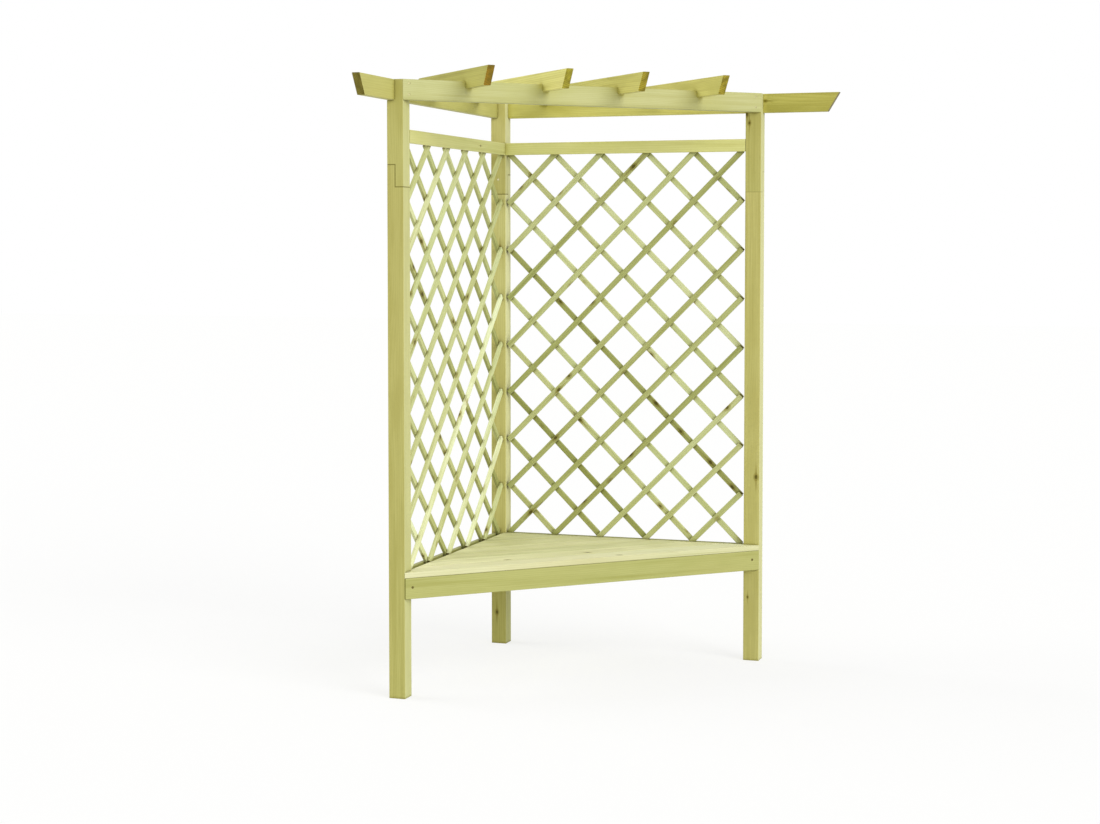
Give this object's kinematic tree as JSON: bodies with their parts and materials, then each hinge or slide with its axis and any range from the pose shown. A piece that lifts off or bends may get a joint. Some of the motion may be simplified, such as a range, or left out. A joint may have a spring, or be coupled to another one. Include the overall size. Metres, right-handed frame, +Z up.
{
  "type": "corner arbour seat",
  "caption": "Timber corner arbour with lapped posts, top beams and rafters, diagonal trellis walls and a triangular slatted seat.",
  "frame": {"origin": "middle of the bounding box at ground level", "axes": "+Z up; +X along the right wall away from the corner post, +Y along the left wall towards the corner post, so the seat faces between +X and -Y"},
  "size_m": [1.3, 1.3, 1.97],
  "materials": {
    "post_timber": "planed softwood, pressure treated, pale olive",
    "beam_timber": "planed softwood, pressure treated, pale green",
    "rafter_timber": "planed softwood, pressure treated, brown sawn ends",
    "trellis_laths": "thin planed laths, pale green, varied",
    "rail_timber": "planed softwood, pressure treated, olive",
    "seat_boards": "planed softwood boards, palest, cream",
    "zinc_screws": "dull zinc, dark recess"
  },
  "bodies": {
    "root": {"beam_front": "beam_timber", "beam_left": "beam_timber", "beam_right": "beam_timber", "post_corner_lower": "post_timber", "post_corner_upper": "post_timber", "post_left_lower": "post_timber", "post_left_upper": "post_timber", "post_right_lower": "post_timber", "post_right_upper": "post_timber", "rafter_1": "rafter_timber", "rafter_2": "rafter_timber", "rafter_3": "rafter_timber", "rafter_4": "rafter_timber", "screw_front_beam_left_1": "zinc_screws", "screw_front_beam_left_2": "zinc_screws", "screw_front_beam_right_1": "zinc_screws", "screw_front_beam_right_2": "zinc_screws", "screw_front_rail_left": "zinc_screws", "screw_front_rail_right": "zinc_screws", "screw_lap_corner": "zinc_screws", "screw_lap_left": "zinc_screws", "screw_lap_right": "zinc_screws", "screw_left_beam_corner": "zinc_screws", "screw_left_beam_end": "zinc_screws", "screw_rafter_1_back": "zinc_screws", "screw_rafter_1_front": "zinc_screws", "screw_rafter_2_back": "zinc_screws", "screw_rafter_2_front": "zinc_screws", "screw_rafter_3_back": "zinc_screws", "screw_rafter_3_front": "zinc_screws", "screw_rafter_4_back": "zinc_screws", "screw_rafter_4_front": "zinc_screws", "screw_right_beam_corner": "zinc_screws", "screw_right_beam_end": "zinc_screws", "seat_bearer_left": "rail_timber", "seat_bearer_middle": "rail_timber", "seat_bearer_right": "rail_timber", "seat_board_1": "seat_boards", "seat_board_2": "seat_boards", "seat_board_3": "seat_boards", "seat_board_4": "seat_boards", "seat_board_5": "seat_boards", "seat_board_6": "seat_boards", "seat_board_7": "seat_boards", "seat_front_rail": "rail_timber", "trellis_foot_rail_left": "rail_timber", "trellis_foot_rail_right": "rail_timber", "trellis_lattice_left": "trellis_laths", "trellis_lattice_right": "trellis_laths", "trellis_top_rail_left": "rail_timber", "trellis_top_rail_right": "rail_timber"}
  },
  "joints": []
}
